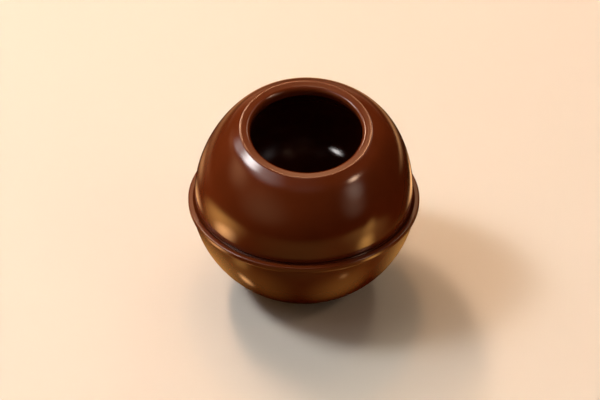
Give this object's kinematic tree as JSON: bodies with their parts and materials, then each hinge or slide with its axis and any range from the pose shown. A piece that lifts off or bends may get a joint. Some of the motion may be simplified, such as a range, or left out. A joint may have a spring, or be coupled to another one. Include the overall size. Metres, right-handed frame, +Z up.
{
  "type": "chocolate truffle shell",
  "caption": "Hollow dark chocolate ball with a round filling mouth, a raised ring round it and a thin seam lip at its widest part.",
  "frame": {"origin": "centre of the flat spot the shell stands on, at its lowest point", "axes": "+Z up through the mouth, -Y towards the side that the ring leans to, +X to the right of someone facing that side"},
  "size_m": [0.026, 0.026, 0.0232],
  "materials": {
    "chocolate": null
  },
  "bodies": {
    "root": {"truffle_shell": "chocolate"}
  },
  "joints": []
}
